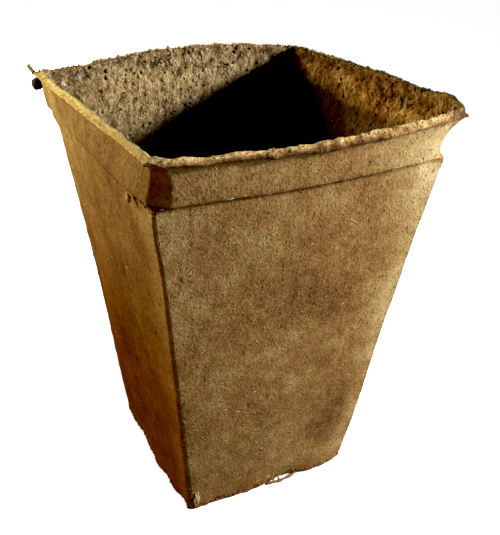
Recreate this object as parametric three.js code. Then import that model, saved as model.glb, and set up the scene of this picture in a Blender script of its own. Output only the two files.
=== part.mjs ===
// Square tapered planting pot, pressed in one piece from composted manure fibre, with the bits of straw and
// compost that stand out of it. Millimetres, Z up. The pot stands on z = 0 with its axis on Z, its front
// faces -Y and its left side faces -X.

import * as THREE from 'three';

// Heights
const RIM_HEIGHT = 152;
const SHOULDER_HEIGHT = 135.5;
const BASE_THICKNESS = 3.2;

// Widths between opposite sides, measured at the corners, and how far each side bows out at its middle
const BASE_WIDTH = 69;
const SHOULDER_WIDTH = 103;
const RIM_WIDTH = 112.6;
const BASE_BOW = 1.5;
const SHOULDER_BOW = 1.7;
const RIM_BOW = 2.2;

// Shell and collar band, and the cove above the band that flares into a thin lip, whose top slopes outward
const WALL = 2.8;
const COLLAR_STEP = 1.5;
const COLLAR_STEP_HEIGHT = 1.9;
const COVE_HEIGHT = 6;
const LIP_THICKNESS = 1.1;
const LIP_ROUNDING = 0.4;
const LIP_DROP = 1.2;
const RIM_TOP_WIDTH = 2.9;
const MOUTH_ROUNDING = 1.1;
const FOOT_ROUNDING = 0.9;
const FLOOR_FILLET = 5;
const DRAIN_HOLE_DIAMETER = 13;

// Corner radii, seen from above. A list gives the far, left, near and right corner
const FOOT_CORNERS = [2.2, 2.2, 2.2, 4];
const SHOULDER_CORNER = 1.4;
const COLLAR_CORNERS = [6, 3, 5.2, 9];
const LIP_CORNER = 2.5;
const INNER_CORNER = 4.5;
const MOUTH_CORNER = 3.5;

// The near corner of the collar is cut flat instead of round: how far the cut reaches along the left and the
// front side, in corner radii
const LEFT_CUT = 0.8;
const FRONT_CUT = 1.25;

// The pressed rim is not level. Lift of the middle of the right, back, left and front side, and of the
// far, left, near and right corner, and the ear that stands up beside the right corner
const SIDE_LIFTS = [0.8, 2.1, 0.5, -0.9];
const CORNER_LIFTS = [-0.7, -1.5, 0.3, 1];
const EAR_RISE = 2.8;
const EAR_REACH = 10;
const EAR_FROM_CORNER = 13;

// Loose bits: sizes, the gap between them and the shell, and places as shares of the wall they lie on
const BIT_GAP = 0.3;
const STALK_DIAMETER = 1.1;
const STALK_LENGTH = 4.2;
const STALK_LEAN = 0.84;
const STALK_START = 0.6;
const CLOD_WIDTH = 4.2;
const CLOD_HEIGHT = 4.8;
const CHAFF = { length: 2.8, width: 1.6, thickness: 0.5, spin: -0.9, across: 0.71 };
const FLECK = { length: 6.4, width: 0.9, thickness: 0.5, spin: -0.45, across: 0.325, up: 0.885 };
const FLAKE = { length: 8.5, width: 1.5, thickness: 0.5, spin: 1.45, across: -0.905, up: 0.055 };
const STRAND_DIAMETER = 0.9;
const STRAND_FROM = -0.06;
const STRAND_TO = 0.3;
const STRAND_SAG = 0.35;

// Mesh fineness
const SIDE_STEPS = 20;
const CORNER_STEPS = 6;
const FILLET_STEPS = 4;
const COVE_STEPS = 5;
const STRAND_STEPS = 12;

const PULP_COLOUR = '#7f5f36';
const STRAW_COLOUR = '#c9b184';
const STRAND_COLOUR = '#8a6a40';
const COMPOST_COLOUR = '#241608';

const lerp = THREE.MathUtils.lerp;
const QUARTER = Math.PI / 2;

// Places of the left and the near corner in the lists of corners
const LEFT = 1;
const NEAR = 2;

// Rim lift at a point: eased between the middles of the sides and the corners, with the ear added
function rimLift(x, y) {
  const eighth = Math.PI / 4;
  const turn = ((Math.atan2(y, x) + 2 * Math.PI) % (2 * Math.PI)) / eighth;
  const lifts = SIDE_LIFTS.flatMap((side, i) => [side, CORNER_LIFTS[i]]);
  const step = Math.floor(turn) % lifts.length;
  const ease = THREE.MathUtils.smoothstep(turn - Math.floor(turn), 0, 1);
  const away = Math.hypot(x - RIM_WIDTH / 2, y + RIM_WIDTH / 2 - EAR_FROM_CORNER) / EAR_REACH;
  return lerp(lifts[step], lifts[(step + 1) % lifts.length], ease) + EAR_RISE * Math.exp(-away * away);
}

// Outside of the wall at a height: half width at the corners, bow of the sides and corner radii
function wallAt(z) {
  const t = z / SHOULDER_HEIGHT;
  return {
    half: lerp(BASE_WIDTH, SHOULDER_WIDTH, t) / 2,
    bow: lerp(BASE_BOW, SHOULDER_BOW, t),
    corners: FOOT_CORNERS.map((radius) => lerp(radius, SHOULDER_CORNER, Math.min(t, 1))),
  };
}

// Outside of the collar band, which stands out from the line of the wall
function collarAt(z) {
  const wall = wallAt(z);
  return { half: wall.half + COLLAR_STEP, bow: wall.bow, corners: COLLAR_CORNERS, cut: true };
}

// The same outline moved inward, or outward by a negative distance
function inset(outline, by) {
  return { ...outline, half: outline.half - by };
}

// An outline moved inward by a wall's thickness, with corners of its own that are all round
function inside({ half, bow, corners }, by, radius) {
  return { half: half - by, bow, corners: corners.map(() => radius) };
}

// How much of the rim's wave a height takes: nothing at the shoulder, all of it at the rim
function waveShare(z) {
  return THREE.MathUtils.clamp((z - SHOULDER_HEIGHT) / (RIM_HEIGHT - SHOULDER_HEIGHT), 0, 1);
}

// Ring with bowed sides and round corners, counter-clockwise from the right side, with the near corner cut
// flat if asked
function squareRing({ half, bow, corners, cut }, z) {
  const wave = waveShare(z);
  const points = [];
  corners.forEach((radius, side) => {
    const flat = cut && side === NEAR;
    const start = half - corners.at(side - 1) * (cut && side === NEAR + 1 ? FRONT_CUT : 1);
    const end = half - radius * (flat ? LEFT_CUT : 1);
    const local = [];
    for (let i = 0; i <= SIDE_STEPS; i++) {
      const t = i / SIDE_STEPS;
      local.push([half + 4 * bow * t * (1 - t), lerp(-start, end, t)]);
    }
    for (let i = 1; i < CORNER_STEPS; i++) {
      const t = i / CORNER_STEPS;
      const round = [end + radius * Math.cos(QUARTER * t), end + radius * Math.sin(QUARTER * t)];
      local.push(flat ? [half - radius * FRONT_CUT * t, lerp(end, half, t)] : round);
    }
    const c = Math.round(Math.cos(side * QUARTER));
    const s = Math.round(Math.sin(side * QUARTER));
    for (const [out, along] of local) {
      const x = c * out - s * along;
      const y = s * out + c * along;
      points.push(new THREE.Vector3(x, y, z + wave * rimLift(x, y)));
    }
  });
  return points;
}

// Round ring whose points lie in the same directions as those of a square ring
function roundRing(radius, z, pattern) {
  return pattern.map(({ x, y }) => new THREE.Vector3(x, y, 0).setLength(radius).setZ(z));
}

// Closed skin through a list of rings, the last joined to the first
function loft(rings) {
  const count = rings[0].length;
  const index = [];
  rings.forEach((_, i) => {
    const here = i * count;
    const next = ((i + 1) % rings.length) * count;
    for (let j = 0; j < count; j++) {
      const k = (j + 1) % count;
      index.push(here + j, here + k, next + k, here + j, next + k, next + j);
    }
  });
  const geometry = new THREE.BufferGeometry().setFromPoints(rings.flat());
  geometry.setIndex(index);
  geometry.computeVertexNormals();
  return geometry;
}

const lipCorners = COLLAR_CORNERS.map(() => LIP_CORNER);
const lipEdge = { half: RIM_WIDTH / 2, bow: RIM_BOW, corners: lipCorners, cut: true };
const lipTop = RIM_HEIGHT - LIP_DROP;
const lipUnderside = lipTop - LIP_THICKNESS;
const coveFoot = lipUnderside - COVE_HEIGHT;

// Outside of the cove, from the band at turn 0 to the underside of the lip at a quarter turn
function coveAt(turn) {
  const flare = 1 - Math.cos(turn);
  const band = collarAt(coveFoot);
  const lip = inset(lipEdge, LIP_ROUNDING);
  return {
    half: lerp(band.half, lip.half, flare),
    bow: lerp(band.bow, lip.bow, flare),
    corners: COLLAR_CORNERS.map((radius) => lerp(radius, LIP_CORNER, turn / QUARTER)),
    cut: true,
  };
}

// Moulded shell, followed from the drain hole out under the base, up the outside, over the rim, down the
// inside and back to the hole
function potShell() {
  const rings = [];
  const foot = wallAt(FOOT_ROUNDING);
  for (let i = 0; i <= FILLET_STEPS; i++) {
    const angle = QUARTER * i / FILLET_STEPS;
    const tuck = FOOT_ROUNDING * (1 - Math.sin(angle));
    rings.push(squareRing(inset(foot, tuck), FOOT_ROUNDING * (1 - Math.cos(angle))));
  }
  rings.push(squareRing(wallAt(SHOULDER_HEIGHT), SHOULDER_HEIGHT));

  const bandFoot = SHOULDER_HEIGHT + COLLAR_STEP_HEIGHT;
  rings.push(squareRing(collarAt(bandFoot), bandFoot));
  for (let i = 0; i <= COVE_STEPS; i++) {
    const turn = QUARTER * i / COVE_STEPS;
    rings.push(squareRing(coveAt(turn), coveFoot + COVE_HEIGHT * Math.sin(turn)));
  }
  rings.push(squareRing(lipEdge, lipUnderside + LIP_ROUNDING));
  rings.push(squareRing(lipEdge, lipTop - LIP_ROUNDING));
  rings.push(squareRing(inset(lipEdge, LIP_ROUNDING), lipTop));

  const mouth = inside(lipEdge, RIM_TOP_WIDTH, MOUTH_CORNER);
  rings.push(squareRing(inset(mouth, -MOUTH_ROUNDING), RIM_HEIGHT));
  rings.push(squareRing(mouth, RIM_HEIGHT - MOUTH_ROUNDING));
  rings.push(squareRing(inside(collarAt(bandFoot), WALL, INNER_CORNER), bandFoot));
  const throat = SHOULDER_HEIGHT - WALL;
  rings.push(squareRing(inside(wallAt(throat), WALL, INNER_CORNER), throat));

  const floorTop = BASE_THICKNESS;
  const filletTop = inside(wallAt(floorTop + FLOOR_FILLET), WALL, INNER_CORNER);
  for (let i = 0; i <= FILLET_STEPS; i++) {
    const angle = QUARTER * i / FILLET_STEPS;
    const tuck = FLOOR_FILLET * (1 - Math.cos(angle));
    rings.push(squareRing(inset(filletTop, tuck), floorTop + FLOOR_FILLET * (1 - Math.sin(angle))));
  }
  const holeRadius = DRAIN_HOLE_DIAMETER / 2;
  rings.push(roundRing(holeRadius, floorTop, rings[0]), roundRing(holeRadius, 0, rings[0]));
  return loft(rings);
}

// Leaf-shaped chip lying in the XY plane, its underside at z = 0
function chip({ length, width, thickness }) {
  const outline = new THREE.Shape();
  outline.moveTo(-length / 2, 0);
  outline.quadraticCurveTo(0, -width, length / 2, -width / 6);
  outline.lineTo(length / 2, width / 6);
  outline.quadraticCurveTo(0, width, -length / 2, 0);
  return new THREE.ExtrudeGeometry(outline, { depth: thickness, bevelEnabled: false, curveSegments: 6 });
}

// Round strand along a curve
function strand(curve, diameter) {
  const section = new THREE.Shape();
  section.absarc(0, 0, diameter / 2, 0, 2 * Math.PI);
  const options = { extrudePath: curve, steps: STRAND_STEPS, bevelEnabled: false, curveSegments: 6 };
  return new THREE.ExtrudeGeometry(section, options);
}

// Lays a chip on the outside of the wall, at a share of the way from the middle of a side to its corner. The
// side is given by its turn from the front.
function layOnWall(mesh, turn, across, z, spin) {
  const wall = wallAt(z);
  const outAt = (height) => wallAt(height).half + wallAt(height).bow * (1 - across * across);
  const rise = 1;
  const lean = Math.atan2(outAt(z + rise) - outAt(z), rise);
  const swing = Math.atan2(-2 * wall.bow * across, wall.half);
  const holder = new THREE.Group();
  holder.rotation.z = turn;
  mesh.position.set(across * wall.half, -outAt(z) - BIT_GAP, z);
  mesh.rotation.set(QUARTER + lean, swing, spin, 'XYZ');
  holder.add(mesh);
  return holder;
}

function makeMesh(name, geometry, colour, roughness) {
  const material = new THREE.MeshStandardMaterial({ color: colour, roughness, metalness: 0 });
  const mesh = new THREE.Mesh(geometry, material);
  mesh.name = name;
  return mesh;
}

const pot = new THREE.Group();
pot.name = 'cow_manure_pot';
pot.add(makeMesh('pot_body', potShell(), PULP_COLOUR, 0.95));

// Left rim corner: heights there, distances out along its diagonal, and how far out an outline reaches
const cornerHeight = (z) => z + waveShare(z) * CORNER_LIFTS[LEFT];
const diagonal = (out, z) => new THREE.Vector3(-out * Math.SQRT1_2, out * Math.SQRT1_2, z);
const diagonalReach = ({ half, corners }) => (half - corners[LEFT]) * Math.SQRT2 + corners[LEFT];

// Straw stalk that leaves the corner beside the lip and leans outward
function rimStalk() {
  const out = diagonalReach(lipEdge) + BIT_GAP + STALK_DIAMETER / 2;
  const start = diagonal(out, cornerHeight(lipUnderside) + STALK_START);
  const lean = diagonal(Math.sin(STALK_LEAN), Math.cos(STALK_LEAN)).multiplyScalar(STALK_LENGTH);
  return strand(new THREE.LineCurve3(start, start.clone().add(lean)), STALK_DIAMETER);
}
pot.add(makeMesh('rim_straw', rimStalk(), STRAW_COLOUR, 0.7));

// Lump of compost in the crook of the cove at the corner, clear of the band below and of the cove beside it
function cornerClod() {
  const lump = new THREE.IcosahedronGeometry(0.5, 2).scale(CLOD_WIDTH, CLOD_WIDTH, CLOD_HEIGHT);
  const seat = Math.max(diagonalReach(coveAt(0)), diagonalReach(coveAt(QUARTER / 2)));
  const at = diagonal(seat + CLOD_WIDTH / 2, cornerHeight(coveFoot) + CLOD_HEIGHT / 2 - BIT_GAP);
  return lump.translate(at.x, at.y, at.z);
}
pot.add(makeMesh('rim_clod', cornerClod(), COMPOST_COLOUR, 1));

// Chips on the wall: one under the band on the left side and two on the front
const chaff = makeMesh('collar_chaff', chip(CHAFF), STRAW_COLOUR, 0.8);
const chaffHeight = SHOULDER_HEIGHT - CHAFF.length / 2;
pot.add(layOnWall(chaff, -QUARTER, CHAFF.across, chaffHeight, CHAFF.spin));
const fleck = makeMesh('front_straw_fleck', chip(FLECK), STRAW_COLOUR, 0.8);
pot.add(layOnWall(fleck, 0, FLECK.across, FLECK.up * SHOULDER_HEIGHT, FLECK.spin));
const flake = makeMesh('foot_straw_flake', chip(FLAKE), STRAW_COLOUR, 0.8);
pot.add(layOnWall(flake, 0, FLAKE.across, FLAKE.up * SHOULDER_HEIGHT, FLAKE.spin));

// Torn strand that hangs along the front bottom edge
function footStrand() {
  const foot = wallAt(FOOT_ROUNDING);
  const lowest = STRAND_DIAMETER / 2 + BIT_GAP;
  const points = [0, 0.5, 1].map((t) => {
    const across = lerp(STRAND_FROM, STRAND_TO, t);
    const out = foot.half + foot.bow * (1 - across * across) + BIT_GAP + STRAND_DIAMETER / 2;
    const rise = STRAND_SAG * (2 * t - 1) ** 2;
    return new THREE.Vector3(across * foot.half, -out, lowest + rise);
  });
  return strand(new THREE.CatmullRomCurve3(points), STRAND_DIAMETER);
}
pot.add(makeMesh('foot_strand', footStrand(), STRAND_COLOUR, 0.9));

export default pot;
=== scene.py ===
"""Square planting pot of pressed manure fibre, dressed for a studio picture.

Everything is in metres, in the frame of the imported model: Z up, the pot standing on z = 0 with its axis on Z,
its front facing -Y and its left side facing -X.
"""

import math
from itertools import combinations

import bpy
import numpy as np
from mathutils import Matrix, Vector, noise
from numpy.linalg import norm


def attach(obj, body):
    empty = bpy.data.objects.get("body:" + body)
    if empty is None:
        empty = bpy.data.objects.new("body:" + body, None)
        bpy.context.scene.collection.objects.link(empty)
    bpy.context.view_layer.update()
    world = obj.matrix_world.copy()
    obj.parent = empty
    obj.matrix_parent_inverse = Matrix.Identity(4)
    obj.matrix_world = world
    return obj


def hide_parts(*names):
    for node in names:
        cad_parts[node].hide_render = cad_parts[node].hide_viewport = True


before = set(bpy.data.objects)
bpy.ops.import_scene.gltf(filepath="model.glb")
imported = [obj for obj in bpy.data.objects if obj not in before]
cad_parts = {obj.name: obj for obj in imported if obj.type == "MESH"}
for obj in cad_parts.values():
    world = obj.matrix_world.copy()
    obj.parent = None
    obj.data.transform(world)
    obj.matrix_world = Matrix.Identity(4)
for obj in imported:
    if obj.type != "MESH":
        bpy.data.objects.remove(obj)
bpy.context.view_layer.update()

MM = 0.001

# Shell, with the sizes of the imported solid
RIM_HEIGHT = 152 * MM
SHOULDER = 135.5 * MM
BASE = 3.2 * MM
BASE_HALF = 34.5 * MM
SHOULDER_HALF = 51.5 * MM
RIM_HALF = 56.3 * MM
BASE_BOW = 1.5 * MM
SHOULDER_BOW = 1.7 * MM
RIM_BOW = 2.2 * MM
WALL = 2.8 * MM
COLLAR_STEP = 1.5 * MM
COVE_HEIGHT = 6 * MM
LIP_DROP = 1.2 * MM
LIP_THICKNESS = 1.1 * MM
LIP_ROUNDING = 0.4 * MM
MOUTH_ROUNDING = 1.1 * MM
CREST_WIDTH = 1.1 * MM
RIM_TOP_WIDTH = 2.9 * MM
FOOT_ROUNDING = 0.9 * MM
FLOOR_FILLET = 5 * MM
HOLE_RADIUS = 6.5 * MM
SHOULDER_CORNER = 1.4 * MM
LIP_CORNER = 2.5 * MM
INNER_CORNER = 4.5 * MM
MOUTH_CORNER = 3.5 * MM
THROAT_DROP = 1.5 * MM
THROAT_TUCK = 0.3 * MM
INNER_STEP = 1 * MM

# Step out to the band: start over the shoulder, and rings with height over it and shares of step and corners
STEP_START = 0.4 * MM
STEP_RINGS = [(1 * MM, 0.25, 0.3), (1.5 * MM, 0.8, 0.8), (2.3 * MM, 1, 1)]

# Corner radii of the wall at the foot and of the collar band: far, left, near and right corner
FOOT_CORNERS = np.array([2.2, 2.2, 2.2, 4]) * MM
COLLAR_CORNERS = np.array([6, 3, 5.2, 9]) * MM

# Sides are numbered counter-clockwise from the right one
LEFT = 2
FRONT = 3

# The band's near corner is cut nearly flat: reach along the front in corner radii, flatness, and the height
# over the shoulder at which it is whole
FRONT_CUT = 1.3
FLATNESS = 0.88
CUT_HEIGHT = 1.5 * MM

# Lift of the uneven rim: at the middles of the right, back, left and front side, and at the corners as above
SIDE_LIFTS = np.array([0.8, 2.1, 0.5, -0.9]) * MM
CORNER_LIFTS = np.array([-0.7, -1.5, 0.3, 1.0]) * MM

# Mesh fineness: columns of a side and a corner, rings of roundings, row spacings, depth of the fine rows
SIDE_COLUMNS = 100
CORNER_COLUMNS = 12
FOOT_RINGS = 5
COVE_RINGS = 6
FILLET_RINGS = 5
WALL_ROW = 1.2 * MM
COLLAR_ROW = 0.8 * MM
RIM_ROW = 0.45 * MM
INSIDE_ROW = 0.9 * MM
DEEP_ROW = 2.4 * MM
FINE_DEPTH = 35 * MM
BASE_ROWS = 10
BORE_ROWS = 2

# Places of a ring's values in its row
HALF, BOW, LEVEL, INSIDE, ROUGH, RADII = 0, 1, 2, 3, 4, slice(5, 9)

SEED = 7
TINY = 1e-12
QUARTER = math.pi / 2
chance = np.random.default_rng(SEED)


# Number helpers

def lerp(a, b, t):
    return a + (b - a) * t


def rising(value, start, end):
    """0 up to the start, 1 from the end on."""
    return np.clip((value - start) / (end - start), 0, 1)


def peak(value, middle, reach):
    """1 at the middle, fading to both sides."""
    return np.exp(-((value - middle) / reach) ** 2)


def eased(t):
    """The share with a gentle start and end."""
    return t * t * (3 - 2 * t)


def unit(vectors):
    """The same directions at length 1."""
    return vectors / np.maximum(norm(vectors, axis=-1, keepdims=True), TINY)


# Shell: rings of the moulding

def wall_at(z):
    """Half width, bow and corner radii of the wall's outside at a height."""
    t = z / SHOULDER
    half = lerp(BASE_HALF, SHOULDER_HALF, t)
    bow = lerp(BASE_BOW, SHOULDER_BOW, t)
    return half, bow, lerp(FOOT_CORNERS, SHOULDER_CORNER, t)


def station(half, bow, radius, z, row, inside=0.0, rough=0.0):
    """A ring with its shape, its inside and ragged shares, and the row spacing up to it."""
    return np.array([half, bow, z, inside, rough, *np.broadcast_to(radius, 4)]), row


def wall_station(z, out, row, radius=None, **zone):
    half, bow, corner = wall_at(z)
    return station(half + out, bow, corner if radius is None else radius, z, row, **zone)


def foot_rings():
    half, bow, corner = wall_at(FOOT_ROUNDING)
    rings = []
    for angle in np.linspace(0, QUARTER, FOOT_RINGS):
        tuck = FOOT_ROUNDING * (1 - math.sin(angle))
        z = FOOT_ROUNDING * (1 - math.cos(angle))
        rings.append(station(half - tuck, bow, corner, z, COLLAR_ROW))
    rings.append(wall_station(SHOULDER + STEP_START, 0, WALL_ROW))
    return rings


def collar_rings():
    rings = []
    for rise, out, corner in STEP_RINGS:
        z = SHOULDER + rise
        rings.append(wall_station(z, out * COLLAR_STEP, RIM_ROW, corner * COLLAR_CORNERS))
    cove = RIM_HEIGHT - LIP_DROP - LIP_THICKNESS - COVE_HEIGHT
    cove_half, cove_bow, _ = wall_at(cove)
    for angle in np.linspace(0, QUARTER, COVE_RINGS):
        t = 1 - math.cos(angle)
        half = lerp(cove_half + COLLAR_STEP, RIM_HALF - LIP_ROUNDING, t)
        corner = lerp(COLLAR_CORNERS, LIP_CORNER, angle / QUARTER)
        z = cove + COVE_HEIGHT * math.sin(angle)
        rings.append(station(half, lerp(cove_bow, RIM_BOW, t), corner, z, COLLAR_ROW, rough=t))
    return rings


def lip_rings():
    under = RIM_HEIGHT - LIP_DROP - LIP_THICKNESS
    edge = under + LIP_THICKNESS
    mouth = RIM_HALF - RIM_TOP_WIDTH
    throat = RIM_HEIGHT - MOUTH_ROUNDING
    return [
        station(RIM_HALF, RIM_BOW, LIP_CORNER, under + LIP_ROUNDING, RIM_ROW, rough=1),
        station(RIM_HALF, RIM_BOW, LIP_CORNER, edge - LIP_ROUNDING, RIM_ROW, rough=1),
        station(RIM_HALF - LIP_ROUNDING, RIM_BOW, LIP_CORNER, edge, RIM_ROW, rough=1),
        station(mouth + CREST_WIDTH, RIM_BOW, MOUTH_CORNER, RIM_HEIGHT, RIM_ROW, rough=1),
        station(mouth, RIM_BOW, MOUTH_CORNER, throat, RIM_ROW, inside=1, rough=1),
        station(mouth - THROAT_TUCK, RIM_BOW, MOUTH_CORNER, throat - THROAT_DROP, RIM_ROW, inside=1),
    ]


def inner_rings():
    top = SHOULDER
    rings = [
        wall_station(top + INNER_STEP, COLLAR_STEP - WALL, COLLAR_ROW, MOUTH_CORNER, inside=1),
        wall_station(top - WALL, -WALL, INSIDE_ROW, INNER_CORNER, inside=1),
        wall_station(top - FINE_DEPTH, -WALL, INSIDE_ROW, INNER_CORNER, inside=1),
    ]
    half, bow, _ = wall_at(BASE + FLOOR_FILLET)
    for angle in np.linspace(0, QUARTER, FILLET_RINGS):
        tuck = FLOOR_FILLET * (1 - math.cos(angle))
        z = BASE + FLOOR_FILLET * (1 - math.sin(angle))
        rings.append(station(half - WALL - tuck, bow, INNER_CORNER, z, DEEP_ROW, inside=1))
    return rings


def profile():
    """All rings, from the foot over the rim to the floor."""
    return foot_rings() + collar_rings() + lip_rings() + inner_rings()


def resampled(rings):
    """Rows between the rings, each stretch divided at its own spacing."""
    rows = [rings[0][0]]
    for (before, _), (after, spacing) in zip(rings, rings[1:]):
        length = math.hypot(after[HALF] - before[HALF], after[LEVEL] - before[LEVEL])
        steps = max(1, round(length / spacing))
        rows += [lerp(before, after, k / steps) for k in range(1, steps + 1)]
    return np.array(rows)


def rim_lift(x, y):
    """Lift of the rim at each point, eased between sides and corners."""
    lifts = np.stack([SIDE_LIFTS, CORNER_LIFTS], 1).ravel()
    turn = (np.arctan2(y, x) % (2 * math.pi)) / (math.pi / 4)
    step = np.floor(turn).astype(int) % len(lifts)
    return lerp(lifts[step], lifts[(step + 1) % len(lifts)], eased(turn - np.floor(turn)))


def square_rings(rows):
    """Points of each row: bowed sides and round corners, counter-clockwise from the right side."""
    half, bow, z = (rows[:, k, None] for k in (HALF, BOW, LEVEL))
    radii = rows[:, RADII]
    share = np.linspace(0, 1, SIDE_COLUMNS + 1)[None]
    angle = np.linspace(0, QUARTER, CORNER_COLUMNS + 1)[None, 1:-1]
    straight = angle / QUARTER
    crown = bow * 4 * share * (1 - share)
    outside = rows[:, INSIDE, None] < 0.5
    banded = rising(z, SHOULDER, SHOULDER + CUT_HEIGHT) * outside
    sides = []
    for side in range(4):
        cut = banded * (side == LEFT)
        radius = radii[:, side, None]
        before = half - radii[:, side - 1, None] * lerp(1, FRONT_CUT, banded * (side == FRONT))
        after = half - radius
        beyond = half - radius * lerp(1, FRONT_CUT, cut)
        flat = FLATNESS * cut
        corner_out = lerp(beyond + (half - beyond) * np.cos(angle), lerp(half, beyond, straight), flat)
        corner_along = lerp(after + (half - after) * np.sin(angle), lerp(after, half, straight), flat)
        out = np.concatenate([half + crown, corner_out], 1)
        along = np.concatenate([lerp(-before, after, share), corner_along], 1)
        sides.append((out + 1j * along) * np.exp(1j * QUARTER * side))
    ring = np.concatenate(sides, 1)
    x, y = ring.real, ring.imag
    lifted = rising(z, SHOULDER, RIM_HEIGHT)
    return np.stack([x, y, z + lifted * rim_lift(x, y)], 2)


# Chance bulges and dents of the moulding: place, reach and shift in mm
BENDS = [
    ((57, -20, 152), 28, (0, 0, 1.3)),
    ((57, -45.5, 152), 10, (0, 0, 2.9)),
    ((57, -57, 152.5), 3, (-0.8, 0.8, 0)),
    ((55.7, -53.8, 152), 1.4, (-2.6, 0.9, -0.4)),
    ((53, -53, 139), 6, (-1.0, 1.0, 0)),
    ((54, -54, 147.5), 3.2, (1.5, -1.5, 0)),
    ((52.5, -52.5, 135), 2.5, (1.5, -1.5, 0)),
    ((-54, -48, 142), 6.5, (1.5, 0, 0)),
    ((-52, -52, 130), 14, (-0.9, 0.4, 0)),
    ((31, 58, 152), 13, (0, 0, 1.0)),
    ((57, 57, 152), 9, (0, 0, -1.2)),
    ((0, 58, 152), 12, (0, 0, -0.7)),
    ((-40, 58, 152), 24, (0, 0, -0.3)),
    ((-31, 58, 153), 3.5, (0, 0, 1.2)),
    ((-54, -57, 152), 9, (0, 0, 0.7)),
    ((-57, 56, 149), 4, (-0.8, 0.8, 0)),
    ((-54, 54, 141), 7, (-1.0, 1.0, 0)),
    ((-52, 52, 133.5), 3, (-1.1, 1.1, 0)),
    ((-44, 44, 80), 30, (0.8, -0.8, 0)),
    ((46, -46, 105), 16, (-0.4, 0.4, 0)),
    ((38, -38, 20), 30, (0.7, -0.7, 0)),
    ((-54.5, -54.5, 149), 2.5, (0.5, 0.5, 0)),
    ((-57.5, -57.5, 151), 3, (0, 0, 2.6)),
    ((-34, -34, 1), 8, (-1.1, -1.1, 0)),
    ((22, -36, 1), 9, (0, -1.4, 0)),
    ((-36, -8, 0), 6, (-1.0, 0, 0)),
    ((-36, -22, 0), 4, (-1.1, 0, 0)),
    ((-36, -29, 0), 3.5, (0.5, 0, 0.3)),
    ((-36, 13, 0), 5, (0.8, 0, 0.2)),
    ((-14, -35.5, 0), 14, (0, -0.7, 0)),
    ((5, -35.5, 0), 6, (0, 0.8, 0.9)),
]

# How far the rim leans in along the left side: places along Y and the shift there
LEAN_PLACES = np.array([-57, -50, -40, -28, -14, 0, 15, 28, 45, 57]) * MM
LEAN_SHIFTS = np.array([0.6, 2.1, 3.1, 3.3, 2.7, 2.1, 1.3, 0.5, 0, 0]) * MM

# Heights and distances from the middle between which the lean grows to its full shift
LEAN_HEIGHTS = (SHOULDER + 2 * MM, SHOULDER + 14 * MM)
LEAN_DISTANCES = (44 * MM, 50 * MM)


def leaning(points):
    """Inward shift of the left side's band and rim."""
    x, y, z = np.moveaxis(points, 2, 0)
    share = eased(rising(z, *LEAN_HEIGHTS)) * rising(-x, *LEAN_DISTANCES)
    return np.interp(y, LEAN_PLACES, LEAN_SHIFTS) * share


def bent(points):
    shape = points.copy()
    shape[:, :, 0] += leaning(points)
    for place, reach, shift in BENDS:
        distance = norm(points - np.array(place) * MM, axis=2, keepdims=True)
        shape += np.array(shift) * MM * peak(distance, 0, reach * MM)
    return shape


def shell_grid():
    """Smooth shell as a grid closed both ways, with each row's inside and ragged shares."""
    rows = resampled(profile())
    grid = square_rings(rows)
    first, last = grid[0], grid[-1]

    def circle(z):
        flat = unit(first[:, :2]) * HOLE_RADIUS
        return np.concatenate([flat, np.full((len(flat), 1), z)], 1)

    steps = np.linspace(0, 1, BASE_ROWS, endpoint=False)
    under = [lerp(circle(0), first, t) for t in steps]
    floor = [lerp(circle(BASE), last, t) for t in steps[::-1]]
    bore = [circle(lerp(BASE, 0, t)) for t in np.linspace(0, 1, BORE_ROWS + 2)[1:-1]]
    points = np.concatenate([under, grid, floor, bore])
    added = (BASE_ROWS, BASE_ROWS + BORE_ROWS)
    inside = np.pad(rows[:, INSIDE], added, constant_values=(0, 1))
    rough = np.pad(rows[:, ROUGH], added)
    return bent(points), inside, rough


def grid_normals(points):
    across = np.roll(points, -1, 1) - np.roll(points, 1, 1)
    up = np.roll(points, -1, 0) - np.roll(points, 1, 0)
    return unit(np.cross(across, up))


# Shell: unevenness of the pressed fibre, as patterns with height, size, seed and, if more than one, octaves
BROAD = (0.45 * MM, 45 * MM, 1)
FELT = (0.15 * MM, 4 * MM, 2, 3)
LUMPS = (0.45 * MM, 6 * MM, 4, 3)
TORN = (0.4 * MM, 2.2 * MM, 5, 2)
WAVY = (0.3 * MM, 5 * MM, 6)
STIRS = [(1.3 * MM, 2.5 * MM, seed) for seed in (7, 8, 9)]
RIM_WAVES = (0.45 * MM, 9 * MM, 11, 2)
RIM_TEETH = (0.2 * MM, 2.6 * MM, 12)
STAIN_EDGE = (9 * MM, 6 * MM, 13, 3)
FOOT_TEETH = (0.4 * MM, 2.6 * MM, 14, 2)
CRUMBS = (2.8 * MM, 3)
CRUMB_HEIGHT = 0.7 * MM

# Share of the felt's height on the band, reach of the foot's teeth, and how far crumbs lean and are drawn out
BAND_FELT = 2 / 3
FOOT_REACH = 2.5 * MM
DRAWN_LEAN = math.radians(30)
DRAWN_STRETCH = 1.35

# Pits: depth and its limit, bands with height, reach and share, share elsewhere, and the crumbs and lumps
# where a pit starts and is deepest
PIT_DEPTH = 1.1 * MM
DEEPEST = 0.75 * MM
PIT_BANDS = [(148 * MM, 4 * MM, 1.0), (133 * MM, 5 * MM, 0.4)]
PIT_SHARE = 0.08
PIT_CRUMBS = (0.55, 0.2)
PIT_LUMPS = (0.315 * MM, -0.135 * MM)

# Noise: shift for each seed, fall-off of the octaves and step between them
NOISE_STEP = (17.3, -9.1, 4.7)
CRUMB_STEP = (5.9, 13.7, -7.3)
OCTAVES = (1.0, 2.0)


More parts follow.
